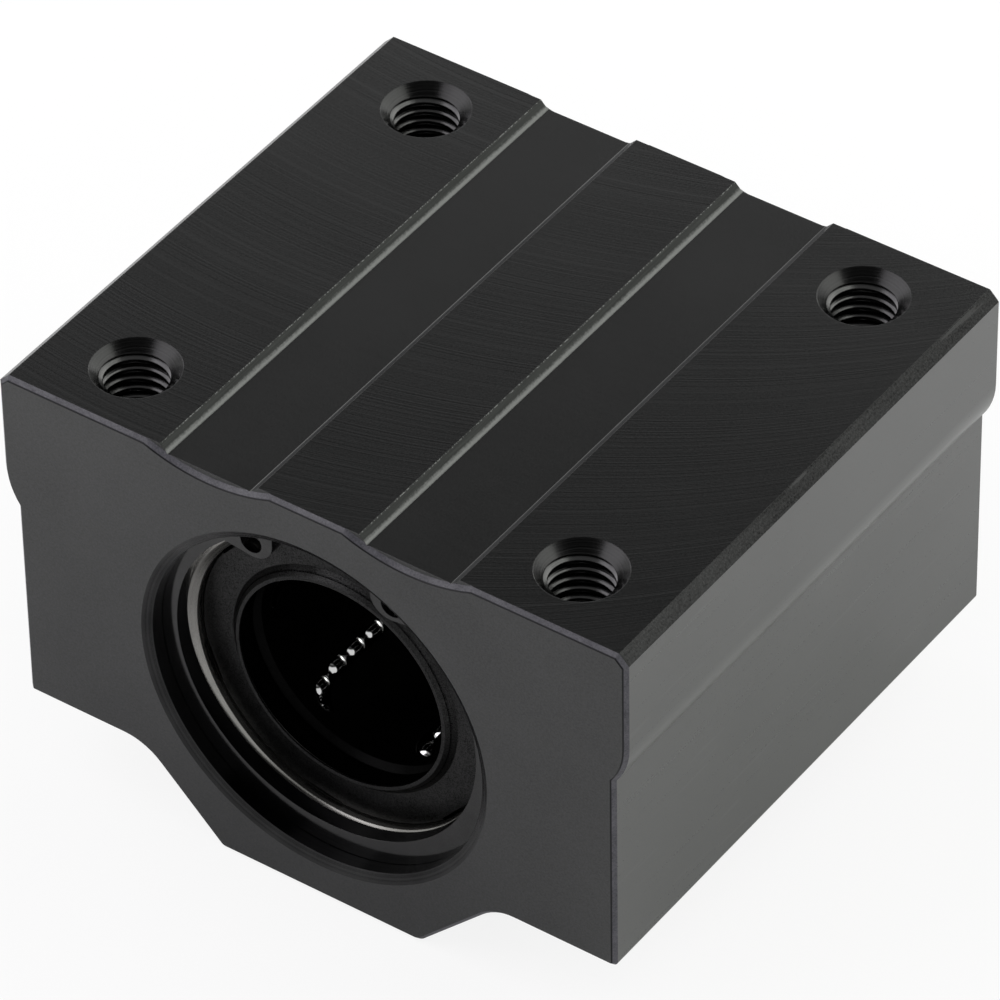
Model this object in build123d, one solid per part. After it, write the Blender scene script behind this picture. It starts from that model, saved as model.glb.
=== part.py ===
from build123d import *
import math
import os

# A bearing block for a round shaft: an extruded and machined housing that carries a ball bushing
# between two circlips. All sizes are in millimetres. The origin is on the shaft axis at the middle
# of the block, Y runs along the shaft, X across the block, and Z up to the mounting face.

# Housing, outside
block_width = 76.0
axis_to_face = 26.0
flange_thickness = 12.0
leg_height = 42.0
overall_height = 51.5
side_recess = 1.5
side_radius = 8.5
hump_foot_width = 43.7
hump_radius = 1.2
flank_angle = 45.0
flank_radius = 6.0
side_chamfer = 1.15
end_chamfer = 0.5
leg_corner_margin = 0.1

# Housing, the two shallow grooves along the mounting face
groove_near_side = 6.1
groove_far_side = 18.1
groove_depth = 0.9
groove_foot_radius = 0.3
groove_end_chamfer = 0.55
groove_end_half_width = 4.7

# Housing, mounting holes
hole_spacing_x = 54.0
hole_spacing_y = 50.0
tap_drill_radius = 3.4
countersink_radius = 4.75

# Bushing, the sizes that mate with the shaft and the housing
shaft_radius = 12.5
bushing_length = 59.0
seat_clearance = 0.02
bore_entry_relief = 0.3
bore_chamfer_width = 1.0
bore_chamfer_depth = 0.6

# Circlips and their grooves in the housing
circlip_groove_depth = 1.25
circlip_thickness = 1.75
circlip_side_play = 0.05
circlip_rim_play = 0.05
circlip_band = 2.8
circlip_eccentricity = 1.0
circlip_gap = 11.9
circlip_end_wall = 2.15
lug_depth_near_gap = 6.85
lug_depth_at_ring = 6.0
lug_reach = 12.5
lug_corner_radius = 2.4
lug_hole_radius = 1.3
lug_hole_inset = 2.62
lug_hole_depth = 4.7

# Bearing shell, the hardened outer cylinder of the bushing
shell_wall = 3.0
shell_mouth_step = 0.8
shell_end_chamfer = 0.8
shell_mouth_chamfer = 0.75
shell_groove_depth = 1.0
shell_groove_width = 1.85
shell_groove_setback = 9.0
raceway_clearance = 0.02
raceway_half_angle = 9.0
raceway_overrun = 0.11

# Balls and their closed circuits
ball_diameter = 3.175
ball_gap = 0.05
circuit_count = 6
turn_balls = 3
turn_rise_angle = 3.5
first_row_angle = -130.5
return_row_rise = 1.265
return_clearance = 0.06

# Ball cage
cage_shaft_clearance = 0.2
cage_bore_chamfer = 0.7
cage_shell_clearance = 0.1
cage_raceway_clearance = 0.14
cage_step_clearance = 0.1
cage_end_wall = 1.1
channel_clearance = 0.065

# Retaining rings between the cage and the seals
retaining_ring_thickness = 0.6
retaining_ring_play = 0.05
retaining_ring_reach = 1.4
retaining_groove_depth = 0.5

# End seals
seal_depth = 1.55
seal_thickness = 1.85
seal_rim_clearance = 0.05
seal_rim_chamfer = 0.2
lip_foot_rise = 1.35
lip_height = 0.9
lip_width = 0.4
lip_land = 0.25
seal_throat_rise = 0.7
seal_throat_start = 1.1
seal_back_rise = 0.3
seal_back_land = 0.75
seal_flat_depth = 0.45
seal_flat_width = 4.6

# Worked out from the sizes above
half_bushing = bushing_length / 2
circlip_groove_end = half_bushing + circlip_thickness + 2 * circlip_side_play
half_block = circlip_groove_end + circlip_end_wall
leg_underside = axis_to_face - leg_height
hump_underside = axis_to_face - overall_height
flange_underside = axis_to_face - flange_thickness
groove_floor = axis_to_face - groove_depth
leg_corner_radius = end_chamfer + leg_corner_margin
side_arc_height = math.sqrt(2 * side_radius * side_recess - side_recess**2)
flank_run = (leg_underside - hump_underside) / math.tan(math.radians(flank_angle))
hump_half_width = hump_foot_width / 2 - flank_run

seal_face = half_bushing - seal_depth
seal_back = seal_face - seal_thickness
retaining_groove_end = seal_back - retaining_ring_thickness - 2 * retaining_ring_play
cage_end = retaining_groove_end

ball_radius = ball_diameter / 2
ball_pitch = ball_diameter + ball_gap
channel_radius = ball_radius + channel_clearance
turn_radius = ball_pitch / (2 * math.sin(math.pi / (2 * turn_balls)))
row_room = cage_end - cage_end_wall - channel_radius - turn_radius
row_balls = int(2 * row_room / ball_pitch)
row_half_length = row_balls * ball_pitch / 2
loaded_row_radius = shaft_radius + ball_radius
return_row_radius = loaded_row_radius + return_row_rise
return_row_angle = math.degrees(
    math.acos(
        (loaded_row_radius**2 + return_row_radius**2 - (2 * turn_radius) ** 2)
        / (2 * loaded_row_radius * return_row_radius)
    )
)
circuit_spacing = 360 / circuit_count
circuit_angles = [first_row_angle + circuit_spacing * i for i in range(circuit_count)]

raceway_radius = loaded_row_radius + ball_radius + raceway_clearance
raceway_end = row_half_length + raceway_overrun
shell_bore_radius = return_row_radius + ball_radius + return_clearance
shell_mouth_radius = shell_bore_radius + shell_mouth_step
bushing_radius = shell_bore_radius + shell_wall
circlip_groove_radius = bushing_radius + circlip_groove_depth
circlip_rim_radius = circlip_groove_radius - circlip_rim_play
retaining_groove_radius = shell_mouth_radius + retaining_groove_depth
cage_bore_radius = shaft_radius + cage_shaft_clearance
cage_rim_radius = shell_bore_radius - cage_shell_clearance
cage_middle_radius = raceway_radius - cage_raceway_clearance


def turned(outline):
    """A full turn about the shaft axis of a closed outline of (radius, place along the shaft)."""
    return revolve(make_face(Polyline(*outline, close=True)), Axis.Y)


def both_ends(half):
    """The closed outline of a turned piece from the points of its half on the +Y side."""
    return half + [(radius, -place) for radius, place in reversed(half)]


def spoke(radius, angle):
    """The point at a radius and an angle about the shaft axis, at mid length."""
    turn = math.radians(angle)
    return Vector(radius * math.cos(turn), 0, radius * math.sin(turn))


def at_end(piece, side):
    """A piece made for the +Y end, put at the end that side names, 1 for +Y and -1 for -Y."""
    return piece if side > 0 else mirror(piece, Plane.XZ)


def housing_section():
    """The section of the housing as it is extruded, with the grooves along its mounting face."""
    half_width = block_width / 2
    half_leg = half_width - side_recess
    near_foot = (groove_near_side + groove_depth, groove_floor)
    far_foot = (groove_far_side - groove_depth, groove_floor)
    near_edge = (groove_near_side, axis_to_face)
    far_edge = (groove_far_side, axis_to_face)
    flange_edge = (half_width, flange_underside)
    leg_top = (half_leg, flange_underside - side_arc_height)
    rim = [
        far_edge,
        (half_width - side_chamfer, axis_to_face),
        (half_width, axis_to_face - side_chamfer),
        flange_edge,
    ]
    lower = [
        leg_top,
        (half_leg, leg_underside),
        (hump_foot_width / 2, leg_underside),
        (hump_half_width, hump_underside),
        (-hump_half_width, hump_underside),
        (-hump_foot_width / 2, leg_underside),
        (-half_leg, leg_underside),
        (-half_leg, leg_top[1]),
    ]
    lower_radii = [leg_corner_radius, flank_radius, hump_radius]
    half_top = Line((0, axis_to_face), near_edge)
    half_top += FilletPolyline(near_edge, near_foot, far_foot, far_edge, radius=groove_foot_radius)
    half_top += Polyline(*rim)
    half_top += RadiusArc(flange_edge, leg_top, side_radius)
    underside = FilletPolyline(*lower, radius=lower_radii + lower_radii[::-1])
    return Plane.XZ * make_face(half_top + mirror(half_top, Plane.YZ) + underside)


def in_groove(edge):
    """Whether an edge of an end face belongs to one of the two grooves."""
    middle = edge.center()
    return groove_near_side < abs(middle.X) < groove_far_side and middle.Z > flange_underside


def groove_end_tools():
    """The cones that break the ends of the two groove floors."""
    cone_radius = groove_end_half_width**2 / (2 * groove_end_chamfer)
    middle = (groove_near_side + groove_far_side) / 2
    centre_height = groove_floor - groove_end_chamfer + cone_radius
    cone = extrude(Plane.XZ * Circle(cone_radius), -groove_end_chamfer, taper=-45)
    cone = Pos(0, half_block - groove_end_chamfer, centre_height) * cone
    return [Pos(side * middle, 0, 0) * at_end(cone, end) for side in (-1, 1) for end in (-1, 1)]


def bore_tool():
    """What the bore takes out of the housing: seat, circlip grooves, wider entries and chamfers."""
    entry_radius = bushing_radius + bore_entry_relief
    half = [
        (bushing_radius + seat_clearance, half_bushing),
        (circlip_groove_radius, half_bushing),
        (circlip_groove_radius, circlip_groove_end),
        (entry_radius, circlip_groove_end),
        (entry_radius, half_block - bore_chamfer_depth),
        (entry_radius + bore_chamfer_width, half_block),
        (0, half_block),
    ]
    return turned(both_ends(half))


def mounting_hole_tool():
    """One mounting hole, countersunk and drilled through at its tap drill size."""
    outline = [
        (0, axis_to_face),
        (countersink_radius, axis_to_face),
        (tap_drill_radius, axis_to_face - countersink_radius + tap_drill_radius),
        (tap_drill_radius, hump_underside),
        (0, hump_underside),
    ]
    return revolve(Plane.XZ * make_face(Polyline(*outline, close=True)), Axis.Z)


def housing():
    """The block: extruded section, broken ends, stepped bore and four mounting holes."""
    block = extrude(housing_section(), half_block, both=True)
    ends = block.faces().filter_by(Plane.XZ).edges()
    block = chamfer([edge for edge in ends if not in_groove(edge)], end_chamfer)
    block -= groove_end_tools()
    block -= bore_tool()
    holes = GridLocations(hole_spacing_x, hole_spacing_y, 2, 2)
    return block - [place * mounting_hole_tool() for place in holes]


def circlip(side):
    """An internal circlip, narrowing towards its two drilled lugs, at one end."""
    rim = Circle(circlip_rim_radius)
    flat = rim - Pos(0, circlip_eccentricity) * Circle(circlip_rim_radius - circlip_band)
    flat -= Pos(0, circlip_rim_radius) * Rectangle(circlip_gap, 2 * circlip_rim_radius)
    lug_outline = [
        (circlip_gap / 2, circlip_rim_radius),
        (circlip_gap / 2, circlip_rim_radius - lug_depth_near_gap),
        (lug_reach, circlip_rim_radius - lug_depth_at_ring),
        (lug_reach, circlip_rim_radius),
    ]
    lug = make_face(Polyline(*lug_outline, close=True))
    lug = fillet(lug.vertices().sort_by(Axis.Y)[0], lug_corner_radius) & rim
    flat += [lug, mirror(lug, Plane.YZ)]
    lug_holes = GridLocations(circlip_gap + 2 * lug_hole_inset, 0, 2, 1)
    flat -= Pos(0, circlip_rim_radius - lug_hole_depth) * lug_holes * Circle(lug_hole_radius)
    ring = extrude(Plane.XZ * flat, -circlip_thickness)
    return at_end(Pos(0, half_bushing + circlip_side_play, 0) * ring, side)


def bearing_shell():
    """The hardened cylinder: grooves outside, wider mouths, and six raceways standing in."""
    shell_groove_radius = bushing_radius - shell_groove_depth
    shell_groove_far = half_bushing - shell_groove_setback
    shell_groove_near = shell_groove_far - shell_groove_width
    half = [
        (bushing_radius, shell_groove_near),
        (shell_groove_radius, shell_groove_near),
        (shell_groove_radius, shell_groove_far),
        (bushing_radius, shell_groove_far),
        (bushing_radius, half_bushing - shell_end_chamfer),
        (bushing_radius - shell_end_chamfer, half_bushing),
        (shell_mouth_radius + shell_mouth_chamfer, half_bushing),
        (shell_mouth_radius, half_bushing - shell_mouth_chamfer),
        (shell_mouth_radius, seal_back),
        (retaining_groove_radius, seal_back),
        (retaining_groove_radius, retaining_groove_end),
        (shell_bore_radius, retaining_groove_end),
    ]
    shell = turned(both_ends(half))
    raceway_root = shell_bore_radius + shell_wall / 4
    outline = both_ends([(raceway_root, raceway_end), (raceway_radius, raceway_end)])
    raceway = revolve(make_face(Polyline(*outline, close=True)), Axis.Y, 2 * raceway_half_angle)
    for angle in circuit_angles:
        shell += Rot(Y=-angle - raceway_half_angle) * raceway
    return shell


def circuit_plane(angle):
    """The plane of one circuit: X from loaded to return row, Z away from the shaft."""
    loaded = spoke(loaded_row_radius, angle)
    returning = spoke(return_row_radius, angle + return_row_angle)
    across = returning - loaded
    outward = Vector(0, 1, 0).cross(across)
    return Plane(origin=(loaded + returning) / 2, x_dir=across, z_dir=outward)


def ball_circuit(angle):
    """The balls of one circuit as separate spheres, one pitch apart round both rows and turns."""
    rows = GridLocations(2 * turn_radius, ball_pitch, 2, row_balls)
    places = list(rows)
    for end in (-1, 1):
        turn = Pos(0, end * row_half_length) * Rot(X=end * turn_rise_angle)
        for number in range(turn_balls):
            swing = Rot(Z=end * 180 * (number + 0.5) / turn_balls)
            places.append(turn * swing * Pos(turn_radius))
    return circuit_plane(angle) * Compound([place * Sphere(ball_radius) for place in places])


def channel_tool():
    """What one circuit takes out of the cage: a round-bottomed loop open to the outside."""
    opening = 2 * shell_bore_radius - loaded_row_radius - return_row_radius
    floor = ThreePointArc((-channel_radius, 0), (0, -channel_radius), (channel_radius, 0))
    walls = Polyline(
        (channel_radius, 0), (channel_radius, opening), (-channel_radius, opening), (-channel_radius, 0)
    )
    slot = Plane.XZ * Pos(turn_radius, 0) * make_face(floor + walls)
    row = extrude(slot, row_half_length, both=True)
    half = row + Pos(0, row_half_length) * revolve(slot, Axis.Z, 180)
    return half + Rot(Z=180) * half


def ball_cage():
    """The moulded cage that guides the balls round their circuits."""
    middle_end = raceway_end + cage_step_clearance
    half = [
        (cage_middle_radius, middle_end),
        (cage_rim_radius, middle_end),
        (cage_rim_radius, cage_end),
        (cage_bore_radius + cage_bore_chamfer, cage_end),
        (cage_bore_radius, cage_end - cage_bore_chamfer),
    ]
    channel = channel_tool()
    return turned(both_ends(half)) - [circuit_plane(angle) * channel for angle in circuit_angles]


def retaining_ring(side):
    """The flat ring that holds the cage at one end of the bearing shell."""
    near = retaining_groove_end + retaining_ring_play
    far = near + retaining_ring_thickness
    rim = retaining_groove_radius - retaining_ring_play
    inner = shell_mouth_radius - retaining_ring_reach
    return at_end(turned([(inner, near), (rim, near), (rim, far), (inner, far)]), side)


def end_seal(side):
    """A seal plate with a lip on the shaft and six small flats on its rim, at one end."""
    rim = shell_mouth_radius - seal_rim_clearance
    lip_face = seal_face + lip_height
    throat_radius = shaft_radius + seal_throat_rise
    back_radius = shaft_radius + seal_back_rise
    plate = turned(
        [
            (rim, seal_back),
            (rim, seal_face - seal_rim_chamfer),
            (rim - seal_rim_chamfer, seal_face),
            (shaft_radius + lip_foot_rise, seal_face),
            (shaft_radius + lip_width, lip_face),
            (shaft_radius, lip_face),
            (shaft_radius, lip_face - lip_land),
            (throat_radius, lip_face - lip_land - seal_throat_rise),
            (throat_radius, seal_back + seal_throat_start),
            (back_radius, seal_back + seal_back_land),
            (back_radius, seal_back),
        ]
    )
    flat = Box(2 * seal_flat_depth, 2 * seal_thickness, seal_flat_width)
    angles = [angle + circuit_spacing / 2 for angle in circuit_angles]
    plate -= [Rot(Y=-angle) * Pos(rim, seal_face, 0) * flat for angle in angles]
    return at_end(plate, side)


pieces = {
    "housing": housing(),
    "bearing_shell": bearing_shell(),
    "ball_cage": ball_cage(),
    "front_retaining_ring": retaining_ring(-1),
    "rear_retaining_ring": retaining_ring(1),
    "front_seal": end_seal(-1),
    "rear_seal": end_seal(1),
    "front_circlip": circlip(-1),
    "rear_circlip": circlip(1),
}
for number, angle in enumerate(circuit_angles, start=1):
    pieces[f"ball_circuit_{number}"] = ball_circuit(angle)

os.makedirs("parts", exist_ok=True)
for name, piece in pieces.items():
    export_step(piece, f"parts/{name}.step")
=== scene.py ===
"""Linear bearing block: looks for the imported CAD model, in metres, in the CAD's own frame."""
import collections
import math

import bmesh
import bpy
from mathutils import Matrix, Vector


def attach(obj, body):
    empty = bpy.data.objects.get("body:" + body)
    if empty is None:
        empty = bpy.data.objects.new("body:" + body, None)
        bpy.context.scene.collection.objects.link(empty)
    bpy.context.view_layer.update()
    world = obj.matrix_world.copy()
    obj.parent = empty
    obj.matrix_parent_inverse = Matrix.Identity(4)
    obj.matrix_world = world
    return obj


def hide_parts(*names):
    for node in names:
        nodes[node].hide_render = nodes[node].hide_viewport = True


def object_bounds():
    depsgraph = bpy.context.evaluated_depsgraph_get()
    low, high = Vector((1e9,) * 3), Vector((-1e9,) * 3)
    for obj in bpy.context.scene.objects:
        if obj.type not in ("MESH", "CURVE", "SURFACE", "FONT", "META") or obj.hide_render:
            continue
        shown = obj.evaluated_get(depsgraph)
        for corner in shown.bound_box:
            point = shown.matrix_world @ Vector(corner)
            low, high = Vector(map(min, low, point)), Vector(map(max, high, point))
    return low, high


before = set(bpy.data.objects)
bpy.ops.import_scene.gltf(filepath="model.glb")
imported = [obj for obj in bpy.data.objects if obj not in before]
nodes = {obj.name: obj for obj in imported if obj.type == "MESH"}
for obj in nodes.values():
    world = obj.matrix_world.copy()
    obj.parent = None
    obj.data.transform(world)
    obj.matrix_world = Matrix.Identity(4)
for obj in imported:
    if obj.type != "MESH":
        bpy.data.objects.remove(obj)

cad_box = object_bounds()
MM = 0.001

# Sizes of the block, in mm: its outside from the frame, the rest as the CAD has them
floor_z = cad_box[0][2] / MM
half_width, half_length, face_z = (c / MM for c in cad_box[1])
hole_x, hole_y = 27.0, 25.0
tap_drill_radius, countersink_radius = 3.4, 4.75
countersink_foot_z = face_z - (countersink_radius - tap_drill_radius)
groove_depth, groove_reach = 0.9, 20.0
groove_floor_z = face_z - groove_depth
side_chamfer = 1.15
bore_opening_radius, bore_chamfer_depth = 22.6, 0.6

# Thread of the four holes, in mm. Its flats and its flank are parts of the pitch.
thread_pitch, thread_major, thread_minor = 1.25, 4.0, 3.34
thread_root_flat, thread_flank, thread_crest_flat = 1 / 8, 5 / 16, 1 / 4
thread_top, thread_turns = 25.4, 15
thread_segments = 72
cutter_tip_below, cutter_tip_above = 0.4, 2.0
blank_weld_gap, cut_weld_gap = 0.001, 0.0005
coplanar_angle = 0.0006

# How the faces are told apart: cosines to an axis, and slack in mm
level_cosine, end_cosine, edge_cosine, slope_cosine = 0.9995, 0.999, 0.5, 0.3
side_slack, top_slack, groove_slack = 0.01, 0.05, 0.1
smooth_angle = math.radians(24)

# Finish, in mm: worn radius of the edges, and the mill's arc and the line that it was fed along
edge_radius = 0.12
mill_radius, mill_path_x = 82.0, -24.0
grain_per_mm = 4.5

# Where the finish and its painted light change, in mm. A wall's foot has a painted highlight up to one
# height above the groove's floor and none from the next. Its painted rim glints and the chamfer's painted
# shade line fade in between two depths.
foot_highlight_full, foot_highlight_end = 0.1, 0.42
rim_glint_start, rim_glint_full = 0.1, 0.06
shade_line_start, shade_line_full = 0.14, 0.09
# Painted shade on the countersink cone starts around its foot
cone_shade_below, cone_shade_above = 0.1, 0.2
# Painted shade fills the seal's throat inside these radii, except on the lip between these depths
throat_shade_inner_radius, throat_shade_outer_radius = 13.0, 13.5
lip_foot_y, lip_top_y = 28.4, 28.5

# The span of a pattern over which roughness and specular level change
pattern_low, pattern_high = 0.3, 0.7

# Camera: its direction from the block in degrees, its place in metres and its lens in mm
camera_azimuth, camera_elevation, camera_roll = (math.radians(a) for a in (35.66, 41.13, -1.01))
camera_place = (0.36955, -0.51581, 0.55774)
camera_lens, camera_sensor = 297.55, 36
camera_near, camera_far = 0.01, 50

# Floor: half its side in metres, its gap under the block in mm, and how much white is mixed in
floor_half_side = 4.0
floor_gap = 0.02
white_to_camera, white_in_gloss = 0.86, 0.12

# Studio: brightness by the sine of the height above the horizon
studio_stops = ((0.0, 1.0), (0.605, 1.0), (0.648, 0.2), (0.7, 0.02), (0.78, 0.02), (0.9, 0.4), (1.0, 0.4))


# Camera

def place_camera():
    azimuth, elevation, roll = camera_azimuth, camera_elevation, camera_roll
    back = Vector((math.sin(azimuth) * math.cos(elevation),
                   -math.cos(azimuth) * math.cos(elevation), math.sin(elevation)))
    level = (-back).cross(Vector((0, 0, 1))).normalized()
    upright = level.cross(-back)
    right = math.cos(roll) * level + math.sin(roll) * upright
    up = math.cos(roll) * upright - math.sin(roll) * level
    place = Matrix((right, up, back)).transposed().to_4x4()
    place.translation = Vector(camera_place)
    data = bpy.data.cameras.new("camera")
    data.sensor_width = camera_sensor
    data.lens = camera_lens
    data.clip_start, data.clip_end = camera_near, camera_far
    camera = bpy.data.objects.new("camera", data)
    bpy.context.scene.collection.objects.link(camera)
    camera.matrix_world = place
    bpy.context.scene.camera = camera


# Shader node helpers

Place = collections.namedtuple("Place", "vector x y z")


def add(tree, kind, inputs=None, **settings):
    """A node with its settings and its inputs, which are values or other nodes' sockets."""
    node = tree.nodes.new(kind)
    for key, value in settings.items():
        setattr(node, key, value)
    for key, value in (inputs or {}).items():
        if isinstance(value, bpy.types.NodeSocket):
            tree.links.new(value, node.inputs[key])
        else:
            node.inputs[key].default_value = value
    return node


def calc(tree, operation, a, b=None, c=None):
    values = {i: v for i, v in enumerate((a, b, c)) if v is not None}
    return add(tree, "ShaderNodeMath", values, operation=operation).outputs[0]


def weighted(tree, *parts, offset=0.0):
    """The sum of values times their weights, plus an offset. Each part is (value, weight)."""
    total = offset
    for value, weight in parts:
        total = calc(tree, "MULTIPLY_ADD", value, weight, total)
    return total


def noise(tree, scale, detail=2.0, roughness=0.5, vector=None, w=None):
    """3-D noise of a vector, or 1-D noise of w. The scale is per mm."""
    inputs = {"Scale": scale, "Detail": detail, "Roughness": roughness}
    if w is None:
        inputs["Vector"] = vector
        return add(tree, "ShaderNodeTexNoise", inputs).outputs[0]
    inputs["W"] = w
    return add(tree, "ShaderNodeTexNoise", inputs, noise_dimensions="1D").outputs[0]


def ramp(tree, value, low, high, to_low=0.0, to_high=1.0):
    inputs = {"Value": value, "From Min": low, "From Max": high,
              "To Min": to_low, "To Max": to_high}
    return add(tree, "ShaderNodeMapRange", inputs).outputs[0]


def tint(tree, factor, dark, light):
    inputs = {0: factor, 6: (*dark, 1), 7: (*light, 1)}
    return add(tree, "ShaderNodeMix", inputs, data_type="RGBA").outputs[2]


def mix_shaders(tree, share, first, second):
    inputs = {0: share, 1: first.outputs[0], 2: second.outputs[0]}
    return add(tree, "ShaderNodeMixShader", inputs)


def finish_tree(tree, kind, shader):
    output = add(tree, kind)
    tree.links.new(shader.outputs[0], output.inputs[0])


def position(tree):
    """The place in mm, as a vector and as its three coordinates."""
    place = add(tree, "ShaderNodeTexCoord").outputs["Object"]
    inputs = {0: place, "Scale": 1 / MM}
    scaled = add(tree, "ShaderNodeVectorMath", inputs, operation="SCALE").outputs[0]
    parts = add(tree, "ShaderNodeSeparateXYZ", {0: scaled}).outputs
    return Place(scaled, parts[0], parts[1], parts[2])


def stretched(tree, place, x, y, z):
    inputs = {0: place.vector, 1: (x, y, z)}
    return add(tree, "ShaderNodeVectorMath", inputs, operation="MULTIPLY").outputs[0]


def distance(tree, a, b):
    squares = calc(tree, "ADD", calc(tree, "MULTIPLY", a, a), calc(tree, "MULTIPLY", b, b))
    return calc(tree, "SQRT", squares)


def finished(name, pattern, dark, light, metallic=0.0, roughness=(0.3, 0.4), depth=0.002,
             specular=None):
    """A material whose colour, roughness, relief and gloss follow pattern(tree), from 0 to 1.
    depth is the relief in mm. specular is the range of the specular level, plain if it is None."""
    material = bpy.data.materials.new(name)
    material.use_nodes = True
    tree = material.node_tree
    tree.nodes.clear()
    height, shade = pattern(tree)
    edges = add(tree, "ShaderNodeBevel", {"Radius": edge_radius * MM}, samples=4)
    bump = add(tree, "ShaderNodeBump", {"Strength": 1.0, "Distance": depth * MM, "Height": height,
                                        "Normal": edges.outputs[0]})
    inputs = {"Base Color": tint(tree, shade, dark, light), "Metallic": metallic,
              "Roughness": ramp(tree, height, pattern_low, pattern_high, *roughness),
              "Normal": bump.outputs[0]}
    if specular:
        inputs["Specular IOR Level"] = ramp(tree, shade, pattern_low, pattern_high, *specular)
    finish_tree(tree, "ShaderNodeOutputMaterial", add(tree, "ShaderNodeBsdfPrincipled", inputs))
    return material


# Surface patterns. Each gives the sockets of a height and a shade, both mostly from 0 to 1.

def milled_arcs(tree):
    """Marks of a face mill fed along the block: arcs of one radius, with sparse stronger ones."""
    place = position(tree)
    off = calc(tree, "SUBTRACT", place.x, mill_path_x)
    arc = calc(tree, "SQRT", calc(tree, "SUBTRACT", mill_radius ** 2, calc(tree, "MULTIPLY", off, off)))
    feed = calc(tree, "ADD", place.y, arc)
    fine = noise(tree, 4.4, 3.0, 0.7, w=feed)
    broad = noise(tree, 0.12, 2.0, vector=stretched(tree, place, 0.6, 1.0, 1.0))
    grain = noise(tree, grain_per_mm, 2.0, 0.7, vector=place.vector)
    strong = ramp(tree, noise(tree, 1.1, 1.0, w=calc(tree, "ADD", feed, 40.0)), 0.66, 0.74)
    height = weighted(tree, (fine, 0.8), (grain, 0.2))
    shade = weighted(tree, (fine, 0.7), (broad, 0.2), (grain, 1.0), (strong, 0.2), offset=-0.4)
    return height, shade


def satin(tree):
    """Fine even etch, with faint milling in its relief."""
    place = position(tree)
    fine = noise(tree, grain_per_mm, 3.0, 0.7, vector=place.vector)
    cut = noise(tree, 2.0, 2.0, 0.6, vector=stretched(tree, place, 0.15, 1.0, 1.0))
    cloud = noise(tree, 0.06, 3.0, vector=place.vector)
    return weighted(tree, (fine, 0.7), (cut, 0.3)), weighted(tree, (fine, 0.7), (cloud, 0.3))


def extruded(tree):
    """Die lines along the length, with fine grain and scratches."""
    place = position(tree)
    lines = noise(tree, 2.4, 3.0, 0.6, vector=stretched(tree, place, 1.0, 0.012, 1.0))
    grain = noise(tree, grain_per_mm, 2.0, 0.7, vector=place.vector)
    cloud = noise(tree, 0.05, 2.0, vector=place.vector)
    scratch = noise(tree, 1.3, 1.0, vector=stretched(tree, place, 1.0, 0.05, 1.0))
    mark = ramp(tree, scratch, 0.7, 0.74)
    height = weighted(tree, (lines, 0.6), (grain, 0.4))
    shade = weighted(tree, (lines, 0.3), (cloud, 0.5), (grain, 0.7), (mark, 0.3), offset=-0.245)
    return height, shade


def broached(tree):
    """Tool lines along a groove wall, with a painted highlight at its foot and painted glints in dots along
    its rim.
    """
    place = position(tree)
    lines = noise(tree, 3.0, 3.0, 0.6, vector=stretched(tree, place, 1.0, 0.05, 2.0))
    grain = noise(tree, 4.0, 2.0, vector=place.vector)
    uneven = weighted(tree, (grain, 0.25), offset=-0.125)
    rise = calc(tree, "ADD", calc(tree, "SUBTRACT", place.z, groove_floor_z), uneven)
    # Painted highlight along the wall's foot, and painted glints in dots along its rim
    painted_foot_highlight = ramp(tree, rise, foot_highlight_full, foot_highlight_end, 1.0, 0.0)
    rim = ramp(tree, place.z, face_z - rim_glint_start, face_z - rim_glint_full)
    painted_rim_glints = calc(tree, "MULTIPLY", rim, ramp(tree, grain, 0.52, 0.56))
    painted_highlights = calc(tree, "MAXIMUM", painted_foot_highlight, calc(tree, "MULTIPLY", painted_rim_glints, 0.75))
    return lines, weighted(tree, (painted_highlights, 0.6), (lines, 0.45))


def broken_edge(tree):
    """Speckled chamfer with a thin line of painted shade where it meets the end face."""
    place = position(tree)
    fine = noise(tree, 5.0, 3.0, 0.7, vector=place.vector)
    cloud = noise(tree, 0.5, 2.0, vector=place.vector)
    along = calc(tree, "ABSOLUTE", place.y)
    # Painted shade: a thin dark line along the edge with the end face
    painted_line_mask = ramp(tree, along, half_length - shade_line_start, half_length - shade_line_full, 1.0, 0.0)
    return fine, calc(tree, "MULTIPLY", weighted(tree, (fine, 0.7), (cloud, 0.3)), painted_line_mask)


def turned_about_bore(tree):
    """Rings of a cutter that turned about the shaft axis."""
    place = position(tree)
    feed = weighted(tree, (distance(tree, place.x, place.z), 1.3), (place.y, 1.0))
    rings = noise(tree, 4.0, 2.0, 0.7, w=feed)
    grain = noise(tree, 5.0, 2.0, vector=place.vector)
    cloud = noise(tree, 0.15, 2.0, vector=place.vector)
    return weighted(tree, (rings, 0.8), (grain, 0.2)), weighted(tree, (rings, 0.5), (cloud, 0.5))


def turned_about_holes(tree):
    """Rings about each tapped hole, with painted shade that darkens the countersink against the thread."""
    place = position(tree)
    across = calc(tree, "SUBTRACT", calc(tree, "ABSOLUTE", place.x), hole_x)
    along = calc(tree, "SUBTRACT", calc(tree, "ABSOLUTE", place.y), hole_y)
    feed = weighted(tree, (distance(tree, across, along), 1.0), (place.z, 0.4))
    rings = noise(tree, 7.0, 2.0, 0.7, w=feed)
    grain = noise(tree, 6.0, 2.0, vector=place.vector)
    height = weighted(tree, (rings, 0.8), (grain, 0.2))
    # Painted shade darkens the countersink cone against the thread
    cone_shade = (countersink_foot_z - cone_shade_below, countersink_foot_z + cone_shade_above)
    return height, calc(tree, "MULTIPLY", height, ramp(tree, place.z, *cone_shade, 1.0, 0.3))


def grained_height(tree, place, fine_share):
    fine = noise(tree, 8.0, 3.0, 0.6, vector=place.vector)
    cloud = noise(tree, 0.4, 3.0, vector=place.vector)
    return weighted(tree, (fine, fine_share), (cloud, 1 - fine_share))


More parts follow.
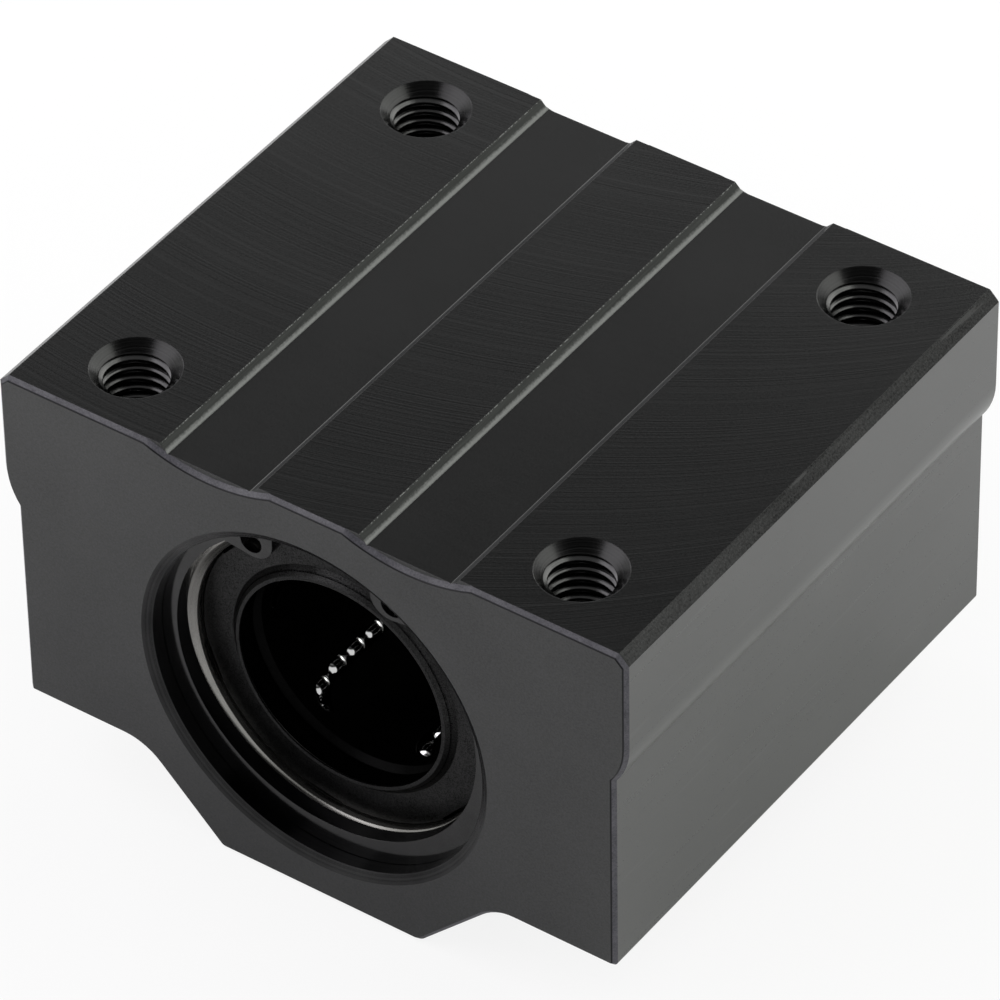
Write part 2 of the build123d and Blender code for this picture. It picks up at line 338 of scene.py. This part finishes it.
def grained(tree):
    """Even fine grain with soft larger changes, for moulded and polished pieces."""
    height = grained_height(tree, position(tree), 0.6)
    return height, height


def moulded_seal(tree):
    """Fine moulded grain, with painted shade that makes it deep black inside the throat behind the lip."""
    place = position(tree)
    height = grained_height(tree, place, 0.85)
    # Painted shade: deep black and without gloss inside the throat, but not on the lip
    outside_throat_shade = ramp(tree, distance(tree, place.x, place.z), throat_shade_inner_radius, throat_shade_outer_radius)
    lip = ramp(tree, calc(tree, "ABSOLUTE", place.y), lip_foot_y, lip_top_y)
    return height, calc(tree, "MULTIPLY", height, calc(tree, "MAXIMUM", outside_throat_shade, lip))


housing_looks = {
    "top": finished("anodised_milled", milled_arcs, (0.0009, 0.001, 0.001), (0.0026, 0.0028, 0.0028),
                    roughness=(0.13, 0.22), depth=0.0048, specular=(0.26, 0.48)),
    "groove": finished("anodised_groove", satin, (0.0013, 0.0014, 0.0014), (0.003, 0.0032, 0.0031),
                       roughness=(0.18, 0.24), depth=0.003, specular=(0.3, 0.5)),
    "end": finished("anodised_end", satin, (0.0055, 0.006, 0.0061), (0.017, 0.0178, 0.018),
                    roughness=(0.3, 0.4), depth=0.005, specular=(0.36, 0.64)),
    "side": finished("anodised_side", extruded, (0.032, 0.0336, 0.0315), (0.044, 0.046, 0.0435),
                     roughness=(0.26, 0.34), depth=0.0006, specular=(0.8, 0.95)),
    "edge": finished("anodised_edge", extruded, (0.0016, 0.0017, 0.0017), (0.007, 0.0073, 0.0072),
                     roughness=(0.2, 0.32), depth=0.006, specular=(0.04, 0.24)),
    "chamfer": finished("anodised_chamfer", broken_edge, (0.004, 0.004, 0.005), (0.082, 0.080, 0.096),
                        roughness=(0.3, 0.42), depth=0.006, specular=(0.15, 0.6)),
    "wall": finished("anodised_groove_wall_painted_highlights", broached, (0.005, 0.0056, 0.0052), (0.105, 0.111, 0.103),
                     roughness=(0.28, 0.4), depth=0.006, specular=(0.08, 0.55)),
    "far_wall": finished("anodised_far_wall", extruded, (0.006, 0.0062, 0.0064), (0.02, 0.0205, 0.021),
                         roughness=(0.4, 0.55), depth=0.004, specular=(0.05, 0.25)),
    # The bore's colours are darker than those of the faces outside: painted shade in the bore
    "bore": finished("anodised_bore", turned_about_bore, (0.0004, 0.0004, 0.0005), (0.0009, 0.0009, 0.001),
                     roughness=(0.1, 0.17), depth=0.002, specular=(0.14, 0.26)),
    "rim": finished("anodised_bore_edge", turned_about_bore, (0.001, 0.001, 0.0012), (0.005, 0.005, 0.0055),
                    roughness=(0.22, 0.34), depth=0.005, specular=(0.1, 0.4)),
    "hole": finished("anodised_thread", turned_about_holes, (0.012, 0.012, 0.012), (0.12, 0.12, 0.12),
                     metallic=1.0, roughness=(0.14, 0.26), depth=0.006),
}


# The housing, with its threads cut

def thread_cutter(centre_x, centre_y):
    """A closed screw whose rows follow the helix; its ends are fanned to the axis."""
    profile = ((0.0, thread_major), (thread_root_flat, thread_major),
               (thread_root_flat + thread_flank, thread_minor),
               (thread_root_flat + thread_flank + thread_crest_flat, thread_minor))
    per_turn = len(profile)
    rows = per_turn * thread_turns
    bottom = thread_top - thread_pitch * (thread_turns + 1)
    vertices, faces = [], []
    for row in range(rows + 1):
        part, radius = profile[row % per_turn]
        base = bottom + thread_pitch * (row // per_turn + part)
        for i in range(thread_segments):
            turn = i / thread_segments
            angle = 2 * math.pi * turn
            vertices.append((centre_x + radius * math.cos(angle), centre_y + radius * math.sin(angle),
                             base + thread_pitch * turn))

    def at(row, i):
        if i == thread_segments:
            row, i = row + per_turn, 0
        return row * thread_segments + i

    for row in range(rows):
        for i in range(thread_segments):
            if i == thread_segments - 1 and row + per_turn + 1 > rows:
                continue
            faces.append((at(row, i), at(row, i + 1), at(row + 1, i + 1), at(row + 1, i)))
    lower = [at(0, i) for i in range(thread_segments)] + [at(row, 0) for row in range(per_turn, 0, -1)]
    upper = [at(rows, i) for i in range(thread_segments)]
    upper += [at(row, thread_segments - 1) for row in range(rows - 1, rows - per_turn - 1, -1)]
    ends = ((lower, bottom - cutter_tip_below, True), (upper, thread_top + cutter_tip_above, False))
    for loop, z, flip in ends:
        vertices.append((centre_x, centre_y, z))
        tip = len(vertices) - 1
        for a, b in zip(loop, loop[1:] + loop[:1]):
            faces.append((b, a, tip) if flip else (a, b, tip))
    return vertices, faces


def mesh_from(name, parts):
    vertices, faces = [], []
    for part_vertices, part_faces in parts:
        start = len(vertices)
        vertices += part_vertices
        faces += [tuple(i + start for i in face) for face in part_faces]
    mesh = bpy.data.meshes.new(name)
    mesh.from_pydata(vertices, [], faces)
    mesh.validate()
    return mesh


def linked(name, mesh):
    piece = bpy.data.objects.new(name, mesh)
    bpy.context.scene.collection.objects.link(piece)
    return piece


def welded(mesh, gap):
    work = bmesh.new()
    work.from_mesh(mesh)
    bmesh.ops.remove_doubles(work, verts=work.verts, dist=gap)
    bmesh.ops.dissolve_limit(work, angle_limit=coplanar_angle, verts=work.verts, edges=work.edges)
    work.to_mesh(mesh)
    work.free()
    return mesh


def surface_kind(centre, normal):
    """Which finish a face of the housing has, from its place in mm and its direction."""
    x, y, z = centre
    to_hole = math.hypot(abs(x) - hole_x, abs(y) - hole_y)
    if to_hole < countersink_radius + side_slack and abs(normal.z) < end_cosine:
        return "hole"
    if math.hypot(x, z) < bore_opening_radius and abs(y) < half_length - side_slack:
        on_rim = abs(y) > half_length - bore_chamfer_depth and abs(normal.y) > slope_cosine
        return "rim" if on_rim else "bore"
    if abs(normal.y) > end_cosine:
        return "end"
    if normal.z > level_cosine and z > face_z - top_slack:
        return "top"
    if z > groove_floor_z - groove_slack and abs(x) < groove_reach:
        if normal.z > level_cosine:
            return "groove"
        if normal.x > slope_cosine:
            return "wall"
        if normal.x < -slope_cosine:
            return "far_wall"
    if abs(normal.y) > slope_cosine:
        return "chamfer"
    if abs(x) > half_width - side_chamfer and normal.z > edge_cosine:
        return "edge"
    return "side"


def finish_faces(mesh):
    """Gives each face its finish, keeps the machined planes flat and marks the sharp edges."""
    kinds = list(housing_looks)
    for kind in kinds:
        mesh.materials.append(housing_looks[kind])
    work = bmesh.new()
    work.from_mesh(mesh)
    work.normal_update()
    for face in work.faces:
        kind = surface_kind(tuple(c / MM for c in face.calc_center_median()), face.normal)
        face.material_index = kinds.index(kind)
        face.smooth = kind not in ("top", "groove", "end")
    for edge in work.edges:
        both_smooth = all(face.smooth for face in edge.link_faces)
        edge.smooth = both_smooth and edge.calc_face_angle(0) < smooth_angle
    work.to_mesh(mesh)
    work.free()


def build_housing():
    """Cuts the threads in a copy of the housing. The cut works in mm, so the copy is scaled for it."""
    blank = nodes["housing"].data.copy()
    blank.transform(Matrix.Scale(1 / MM, 4))
    body = linked("housing_work", welded(blank, blank_weld_gap))
    cutters = [thread_cutter(x, y) for x in (-hole_x, hole_x) for y in (-hole_y, hole_y)]
    tool = linked("thread_work", mesh_from("thread_work", cutters))
    cut = body.modifiers.new("threads", "BOOLEAN")
    cut.operation, cut.solver, cut.object, cut.use_self = "DIFFERENCE", "EXACT", tool, True
    bpy.context.view_layer.update()
    graph = bpy.context.evaluated_depsgraph_get()
    mesh = bpy.data.meshes.new_from_object(body.evaluated_get(graph))
    bpy.data.objects.remove(body)
    bpy.data.objects.remove(tool)
    mesh.name = "housing_body"
    welded(mesh, cut_weld_gap).transform(Matrix.Scale(MM, 4))
    mesh.materials.clear()
    finish_faces(mesh)
    piece = linked("housing_body", mesh)
    normals = piece.modifiers.new("normals", "WEIGHTED_NORMAL")
    normals.keep_sharp = True
    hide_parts("housing")
    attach(piece, "root")


# The bearing

def dress(material, *names):
    for name in names:
        data = nodes[name].data
        data.materials.clear()
        data.materials.append(material)


def dress_bearing():
    shell = finished("bearing_steel", turned_about_bore, (0.09, 0.088, 0.083), (0.36, 0.356, 0.335),
                     metallic=1.0, roughness=(0.2, 0.36), depth=0.004)
    cage = finished("cage_plastic", grained, (0.0002, 0.0002, 0.0002), (0.0005, 0.0005, 0.0005),
                    roughness=(0.25, 0.4), depth=0.003, specular=(0.01, 0.04))
    ring = finished("ring_steel", turned_about_bore, (0.05, 0.05, 0.05), (0.12, 0.12, 0.118),
                    metallic=1.0, roughness=(0.25, 0.4), depth=0.002)
    rubber = finished("seal_rubber", moulded_seal, (0.0004, 0.0004, 0.0004), (0.0012, 0.0012, 0.0013),
                      roughness=(0.28, 0.38), depth=0.004, specular=(0.0, 0.4))
    clip = finished("circlip_steel", grained, (0.0005, 0.0005, 0.0006), (0.0014, 0.0014, 0.0015),
                    roughness=(0.1, 0.15), depth=0.0015, specular=(0.34, 0.6))
    ball = finished("ball_steel", grained, (0.5, 0.5, 0.5), (0.6, 0.6, 0.6),
                    metallic=1.0, roughness=(0.05, 0.09), depth=0.0003)
    dress(shell, "bearing_shell")
    dress(cage, "ball_cage")
    dress(ring, "front_retaining_ring", "rear_retaining_ring")
    dress(rubber, "front_seal", "rear_seal")
    dress(clip, "front_circlip", "rear_circlip")
    dress(ball, *(name for name in nodes if name.startswith("ball_circuit_")))


# Floor, world and lamps

def make_floor():
    """White paper that keeps the shadow, and is clear from below so that the underside shows."""
    half, z = floor_half_side, (floor_z - floor_gap) * MM
    corners = [(-half, -half, z), (half, -half, z), (half, half, z), (-half, half, z)]
    mesh = bpy.data.meshes.new("floor")
    mesh.from_pydata(corners, [], [(0, 1, 2, 3)])
    floor = linked("floor", mesh)
    material = bpy.data.materials.new("floor_white")
    material.use_nodes = True
    tree = material.node_tree
    tree.nodes.clear()
    cloud = noise(tree, 0.02, 3.0, vector=position(tree).vector)
    shade = tint(tree, cloud, (0.86, 0.86, 0.86), (0.90, 0.90, 0.90))
    paper = add(tree, "ShaderNodeBsdfDiffuse", {"Color": shade, "Roughness": 0.6})
    white = add(tree, "ShaderNodeEmission", {"Color": (1, 1, 1, 1), "Strength": 1.0})
    light = add(tree, "ShaderNodeLightPath").outputs
    gloss = calc(tree, "MAXIMUM", light["Is Glossy Ray"], light["Is Transmission Ray"])
    share = weighted(tree, (light["Is Camera Ray"], white_to_camera), (gloss, white_in_gloss))
    below = add(tree, "ShaderNodeNewGeometry").outputs["Backfacing"]
    clear = add(tree, "ShaderNodeBsdfTransparent")
    sided = mix_shaders(tree, below, mix_shaders(tree, share, paper, white), clear)
    finish_tree(tree, "ShaderNodeOutputMaterial", sided)
    mesh.materials.append(material)


def make_world():
    """A studio that is pale low down, dark above that and grey overhead. The camera sees white."""
    world = bpy.data.worlds.new("studio")
    bpy.context.scene.world = world
    world.use_nodes = True
    tree = world.node_tree
    tree.nodes.clear()
    direction = add(tree, "ShaderNodeTexCoord").outputs["Generated"]
    rise = add(tree, "ShaderNodeSeparateXYZ", {0: direction}).outputs[2]
    grade = add(tree, "ShaderNodeValToRGB", {0: rise})
    while len(grade.color_ramp.elements) < len(studio_stops):
        grade.color_ramp.elements.new(0.5)
    for element, (at, value) in zip(grade.color_ramp.elements, studio_stops):
        element.position = at
        element.color = (value, value, value, 1)
    studio = add(tree, "ShaderNodeBackground", {"Color": grade.outputs[0], "Strength": 1.0})
    white = add(tree, "ShaderNodeBackground", {"Color": (1, 1, 1, 1), "Strength": 1.0})
    seen = add(tree, "ShaderNodeLightPath").outputs["Is Camera Ray"]
    finish_tree(tree, "ShaderNodeOutputWorld", mix_shaders(tree, seen, studio, white))


def make_softbox(name, direction, away, length, width, radiance, colour):
    """A lamp that faces the block, its length towards the camera. direction is how far it lies
    towards the camera, to the camera's right and up; away, length and width are in metres."""
    toward = Vector((math.sin(camera_azimuth), -math.cos(camera_azimuth), 0))
    across = Vector((math.cos(camera_azimuth), math.sin(camera_azimuth), 0))
    aim = (direction[0] * toward + direction[1] * across + Vector((0, 0, direction[2]))).normalized()
    along = (toward - toward.dot(aim) * aim).normalized()
    data = bpy.data.lights.new(name, "AREA")
    data.shape, data.size, data.size_y, data.color = "RECTANGLE", length, width, colour
    data.energy = radiance * math.pi * length * width
    lamp = bpy.data.objects.new(name, data)
    bpy.context.scene.collection.objects.link(lamp)
    place = Matrix((along, aim.cross(along), aim)).transposed().to_4x4()
    place.translation = aim * away
    lamp.matrix_world = place
    lamp.visible_camera = False


place_camera()
make_floor()
make_world()
make_softbox("softbox_left", direction=(-0.20, -0.66, 0.66), away=0.65,
             length=0.95, width=0.56, radiance=2.0, colour=(0.98, 0.95, 1.0))
make_softbox("softbox_right", direction=(-0.34, 0.70, 0.66), away=0.50,
             length=0.74, width=0.42, radiance=2.1, colour=(0.98, 1.0, 0.95))
build_housing()
dress_bearing()
bpy.context.scene.view_settings.view_transform = "Standard"
